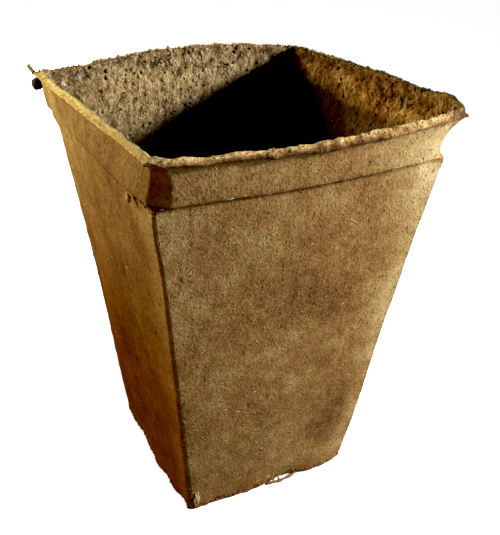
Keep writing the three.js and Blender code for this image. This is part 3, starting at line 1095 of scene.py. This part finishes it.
def cell_uv(mesh, count, corners):
    """A map that gives every strewn bit a small cell of its own."""
    side = math.ceil(math.sqrt(count))
    margin = 0.2
    cell = np.stack([np.arange(count) % side, np.arange(count) // side], 1)[:, None]
    spread = np.stack([np.arange(corners) % 2, (np.arange(corners) // 2) % 2], 1)
    add_uv(mesh, "OFBake", ((cell + lerp(margin, 1 - margin, spread)) / side).reshape(-1, 2))


# Bits of bedding that stand out of the shell

# Looks of loose bits: size and stretch of the streaks, and the ramp of tones
BIT_LOOKS = {
    "fibre": (0.5 * MM, 1, (0.2, (0.09, 0.038, 0.01)), (0.5, (0.3, 0.18, 0.062)), (0.85, (0.56, 0.42, 0.18))),
    "crumb": (0.4 * MM, 1, (0.25, (0.1, 0.062, 0.028)), (0.5, (0.3, 0.21, 0.105)), (0.8, (0.58, 0.46, 0.26))),
    "crust": (0.4 * MM, 1, (0.2, (0.23, 0.125, 0.043)), (0.5, (0.38, 0.235, 0.095)),
              (0.85, (0.72, 0.52, 0.27))),
    # Near-black crumbs put where shade falls: painted shade
    "shade": (0.4 * MM, 1, (0.2, (0.02, 0.01, 0.004)), (0.8, (0.13, 0.07, 0.022))),
    "straw": (0.35 * MM, 0.2, (0.2, (0.2, 0.1, 0.03)), (0.5, (0.5, 0.36, 0.15)), (0.8, (0.75, 0.62, 0.36))),
    "rust": (0.4 * MM, 1, (0.2, (0.05, 0.017, 0.004)), (0.5, (0.2, 0.08, 0.02)), (0.85, (0.45, 0.27, 0.1))),
    "chip": (0.4 * MM, 1, (0.2, (0.5, 0.33, 0.17)), (0.5, (0.75, 0.55, 0.35)), (0.8, (0.95, 0.82, 0.66))),
    "compost": (0.5 * MM, 1, (0.3, (0.01, 0.005, 0.002)), (0.7, (0.05, 0.024, 0.008))),
}
# Painted warm shade of the crumbs: a redder, darker ramp
WARM_SHADE_LOOKS = {"crumb": [(0.3, (0.1, 0.03, 0.007)), (0.65, (0.52, 0.21, 0.06))]}

# Strands in mm: both ends, sag in the middle and radii along them
STALK = ((-56.6, 55.8, 148.8), (-58.1, 58.2, 151.3), (0.2, 0.1, 0))
STALK_RADII = np.linspace(0.9, 0.75, 8)
FLECK = ((13.3, -51.1, 121.5), (19.0, -50.7, 118.7), (0, -0.1, 0.3))
FLECK_RADII = 0.22 * np.sin(np.linspace(0.25, 2.9, 9))
FLECK_SQUASH = 1.8
TORN_STRAND = ((-2.4, -35.9, 0.62), (10.8, -35.9, 0.62), (0, -1.0, 0))
TORN_RADII = 0.58 + 0.12 * np.sin(np.linspace(0, 17, 24))
TORN_WAVES = 0.06 * np.sin(np.linspace(0, 11, 24))
LINK_STARTS = (2, 6, 10)
LINK_REACH = (0.5, 1.2, 0.9)
LINK_SAG = (0, 0, 0.1)
LINK_RADII = np.full(5, 0.38)

# Lumps in mm: centre, half axes, share of unevenness and seed
CLOD = ((-56.1, 55.1, 145.1), (2.2, 2.1, 2.4), 0.14, 3)
CHIP = ((-53.9, -36.5, 134.9), (0.6, 1.2, 1.2), 0.7, 8)
FLAKE = ((-32.7, -36.4, 6.2), (1.2, 0.42, 3.2), 0.6, 5)
LUMP_ROWS = 14
LUMP_COLUMNS = 20
LUMP_DENTS = 1.6

# A direction that no strand follows
ASKEW = (0.31, 0.2, 0.93)


def sweep(path, radii, sides=8, squash=1.0):
    """A closed strand along a path in mm, as vertices and faces."""
    path = np.array(path) * MM
    way = unit(np.gradient(path, axis=0))
    aside = unit(np.cross(way, ASKEW))
    over = np.cross(way, aside)
    angle = np.linspace(0, 2 * math.pi, sides, endpoint=False)[None, :, None]
    ring = np.cos(angle) * aside[:, None] + squash * np.sin(angle) * over[:, None]
    points = path[:, None] + ring * (np.array(radii) * MM)[:, None, None]
    count = len(path)
    ends = [tuple(range(sides))[::-1], tuple(range((count - 1) * sides, count * sides))]
    return points.reshape(-1, 3), tube_faces(count, sides) + ends


def lump(centre, axes, rough, seed):
    """An uneven rounded lump with given half axes, as vertices and faces."""
    polar = np.linspace(0, math.pi, LUMP_ROWS + 1)[1:-1, None]
    angle = np.linspace(0, 2 * math.pi, LUMP_COLUMNS, endpoint=False)[None]
    level = np.cos(polar) + 0 * angle
    ball = np.stack([np.sin(polar) * np.cos(angle), np.sin(polar) * np.sin(angle), level], 2)
    ball = np.concatenate([ball.reshape(-1, 3), [(0, 0, 1), (0, 0, -1)]])
    dents = [Vector(p) * LUMP_DENTS + Vector((seed, 0, 0)) for p in ball.tolist()]
    swell = [1 + rough * noise.fractal(place, *OCTAVES, 3) for place in dents]
    points = (np.array(centre) + ball * np.array(swell)[:, None] * axes) * MM
    index = np.arange((LUMP_ROWS - 1) * LUMP_COLUMNS).reshape(-1, LUMP_COLUMNS)
    beside = np.roll(index, -1, 1)
    faces = np.stack([index[:-1], index[1:], beside[1:], beside[:-1]], 2).reshape(-1, 4).tolist()
    top, bottom = index.size, index.size + 1
    faces += [(top, a, b) for a, b in zip(index[0].tolist(), beside[0].tolist())]
    faces += [(bottom, b, a) for a, b in zip(index[-1].tolist(), beside[-1].tolist())]
    return points, faces


def joined(shapes):
    """Several shapes as one."""
    points, faces = [], []
    for vertices, polygons in shapes:
        start = sum(map(len, points))
        faces += [tuple(start + k for k in polygon) for polygon in polygons]
        points.append(vertices)
    return np.concatenate(points), faces


def add_bit(name, shape, material, tint, node):
    vertices, faces = shape
    piece = add_piece(name, vertices, faces, material)
    add_share(piece.data, "tint", np.full(len(vertices), tint))
    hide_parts(node)


def curve(start, end, sag, count):
    """Points from start to end, sagging in the middle."""
    t = np.linspace(0, 1, count)[:, None]
    return lerp(np.array(start), np.array(end), t) + np.array(sag) * 4 * t * (1 - t)


def strew_bits(surface, looks):
    """Loose fibres and crumbs: name, count, zone, sizes in mm, look and stretch of the way round."""
    z = surface.height
    outer = surface.inside == 0
    inner = surface.inside == 1
    rim = surface.rough > 0.8
    wall = outer & ~rim & (z > 1.5 * MM)
    upper_inside = inner & ~rim & (z > 95 * MM)
    mouth = inner & (z > 146 * MM)
    crest = rim & (z > RIM_HEIGHT - 0.8 * MM)
    under_lip = outer & (z > 148 * MM) & (z < 150.6 * MM)
    band_foot = outer & (z > 134.2 * MM) & (z < 137.4 * MM)
    low_wall = outer & (z > 2 * MM) & (z < 48 * MM)
    foot = outer & (z > 0.3 * MM) & (z < 2.2 * MM)
    strewn_fibres(surface, "felt_fibres", 2200, wall, (0.7, 2.0), (0.18, 0.34), looks["fibre"])
    strewn_fibres(surface, "straw_fibres", 480, wall, (0.7, 2.6), (0.17, 0.34), looks["straw"])
    crumbs = [
        ("inside_crumbs", 5200, upper_inside, (0.5, 2.4), "crumb", (0, 1)),
        # Near-black crumbs on the right inner wall stand in for the shadows of crumbs: painted shade
        ("shade_crumbs", 90, upper_inside, (0.5, 1.8), "shade", (0, 0.2)),
        ("rim_crumbs", 1700, rim, (0.35, 1.2), "crust", (0.02, 0.5)),
        ("lip_crumbs", 420, crest, (0.3, 0.9), "crust", (0.77, 0.97)),
        # Near-black crumbs along the right rim: painted shade
        ("rim_shade_crumbs", 560, rim, (0.6, 1.7), "shade", (0.03, 0.26)),
        ("rim_lumps", 240, rim, (0.9, 2.2), "crust", (0.26, 0.49)),
        ("corner_crumbs", 34, under_lip, (0.4, 1.3), "rust", (0.718, 0.755)),
        ("foot_crumbs", 420, foot, (0.4, 1.5), "rust", (0.5, 1)),
        ("band_crumbs", 28, band_foot, (0.4, 1.5), "rust", (0.708, 0.734)),
        ("edge_specks", 60, low_wall, (0.25, 0.7), "straw", (0.726, 0.74)),
        ("corner_chips", 22, mouth, (0.5, 1.5), "chip", (0.482, 0.498)),
    ]
    for name, count, zone, size, look, around in crumbs:
        strewn_crumbs(surface, name, count, zone, size, looks[look], around)


def torn_threads():
    """The torn strand and its links to the foot, as one shape."""
    path = curve(*TORN_STRAND, len(TORN_RADII))
    path[:, 2] += TORN_WAVES
    links = [curve(path[k], path[k] + LINK_REACH, LINK_SAG, len(LINK_RADII)) for k in LINK_STARTS]
    return joined([sweep(path, TORN_RADII, 6)] + [sweep(link, LINK_RADII, 5) for link in links])


def add_bedding(looks):
    """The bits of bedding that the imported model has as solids."""
    stalk = sweep(curve(*STALK, len(STALK_RADII)), STALK_RADII)
    fleck = sweep(curve(*FLECK, len(FLECK_RADII)), FLECK_RADII, 6, FLECK_SQUASH)
    straw = looks["straw"]
    add_bit("straw_stalk", stalk, straw, 0.2, "rim_straw")
    add_bit("compost_clod", lump(*CLOD), looks["compost"], 0.4, "rim_clod")
    add_bit("chaff_chip", lump(*CHIP), straw, 0.6, "collar_chaff")
    add_bit("straw_fleck", fleck, straw, 0.3, "front_straw_fleck")
    add_bit("straw_flake", lump(*FLAKE), straw, 0.4, "foot_straw_flake")
    add_bit("torn_strand", torn_threads(), looks["fibre"], 0.3, "foot_strand")


# Stage

# Half width of the floor and height of the backdrop in metres, and how brightly both glow
STAGE_HALF = 5.0
STAGE_HEIGHT = 4.0
STAGE_GLOW = 0.97

# Lights: places they point at, colour of the low ones, lamps, and the glow of the room
MIDDLE = (0, 0, 0.12)
LOW_MIDDLE = (0, 0, 0.06)
WARM = (1, 0.95, 0.84)
WIDE_LAMP = {"shape": "DISK", "size": 0.2}
SMALL_LAMP = {"shape": "DISK", "size": 0.032}
SOFT_SPOT = {"spot_blend": 1.0, "shadow_soft_size": 0.012}
ROOM_COLOUR = (1, 0.85, 0.6, 1)
ROOM_STRENGTH = 0.008

# Camera, fitted to the photo: place, directions, lens and sensor in mm
CAMERA_PLACE = (-0.12139, -0.23602, 0.22681)
CAMERA_RIGHT = Vector((0.8852, -0.4643, 0.0283))
CAMERA_UP = Vector((0.2012, 0.4371, 0.8766))
LENS = 52.32
SENSOR = 36
NEAREST = 0.01
BLACK_LEVEL = 0.01


def add_stage_piece(name, vertices, faces, material):
    piece = new_object(name, vertices, faces, material)
    piece.visible_diffuse = False
    piece.visible_glossy = False
    return piece


def make_stage():
    material, tree = new_tree("floor")
    inputs = {"Base Color": (0.8, 0.8, 0.8, 1), "Roughness": 0.9}
    glow = {"Emission Color": (1, 1, 1, 1), "Emission Strength": STAGE_GLOW}
    surface = add_node(tree, "BsdfPrincipled", {**inputs, **glow})
    add_node(tree, "OutputMaterial", {"Surface": surface.outputs[0]})
    low = [(STAGE_HALF * x, STAGE_HALF * y, 0) for x, y in ((-1, -1), (1, -1), (1, 1), (-1, 1))]
    high = [(x, y, STAGE_HEIGHT) for x, y, _ in low]
    add_stage_piece("floor", low, [(0, 1, 2, 3)], material)
    walls = [(k, 4 + k, 4 + (k + 1) % 4, (k + 1) % 4) for k in range(4)]
    backdrop = add_stage_piece("backdrop", low + high, walls + [(7, 6, 5, 4)], material)
    backdrop.visible_shadow = False


def add_light(name, kind, place, target, power, colour, **settings):
    data = bpy.data.lights.new(name, kind)
    data.energy = power
    data.color = colour
    for key, value in settings.items():
        setattr(data, key, value)
    light = bpy.data.objects.new(name, data)
    light.location = place
    light.rotation_euler = (Vector(target) - Vector(place)).to_track_quat("-Z", "Y").to_euler()
    bpy.context.scene.collection.objects.link(light)


def make_lights():
    add_light("key", "AREA", (0.33, -0.2, 0.262), MIDDLE, 3.0, (1, 0.98, 0.93), **SMALL_LAMP)
    add_light("golden", "SPOT", (-0.19, 0.14, 0.205), (0.03, 0.0, 0.175), 2.95, (0.9, 1.0, 0.66),
              spot_size=math.radians(70), **SOFT_SPOT)
    add_light("ember", "AREA", (-0.35, 0.1, 0.05), LOW_MIDDLE, 0.62, (1, 0.44, 0.13), **WIDE_LAMP)
    add_light("fill", "AREA", (0.45, -0.6, 0.05), LOW_MIDDLE, 2.9, WARM, **WIDE_LAMP)
    add_light("back", "AREA", (0.05, 0.65, 0.04), LOW_MIDDLE, 2.2, WARM, **WIDE_LAMP)
    add_light("well", "SPOT", (0, 0, 0.9), (0, 0, 0), 5.0, (1, 0.93, 0.8),
              spot_size=math.radians(6), **SOFT_SPOT)
    world = bpy.data.worlds.new("studio")
    world.use_nodes = True
    background = world.node_tree.nodes["Background"]
    background.inputs["Color"].default_value = ROOM_COLOUR
    background.inputs["Strength"].default_value = ROOM_STRENGTH
    bpy.context.scene.world = world


def make_camera():
    data = bpy.data.cameras.new("camera")
    data.sensor_width = SENSOR
    data.lens = LENS
    data.clip_start = NEAREST
    camera = bpy.data.objects.new("camera", data)
    back = CAMERA_RIGHT.cross(CAMERA_UP)
    turn = Matrix((CAMERA_RIGHT, CAMERA_UP, back)).transposed().to_4x4()
    camera.matrix_world = Matrix.Translation(CAMERA_PLACE) @ turn
    bpy.context.scene.collection.objects.link(camera)
    bpy.context.scene.camera = camera


make_camera()
make_stage()
make_lights()
surface = Surface(*make_shell())
looks = {name: bit_material(name, *look) for name, look in BIT_LOOKS.items()}
strew_bits(surface, looks)
add_bedding(looks)

view = bpy.context.scene.view_settings
view.view_transform = "Standard"
view.use_curve_mapping = True
view.curve_mapping.black_level = (BLACK_LEVEL,) * 3
view.curve_mapping.update()
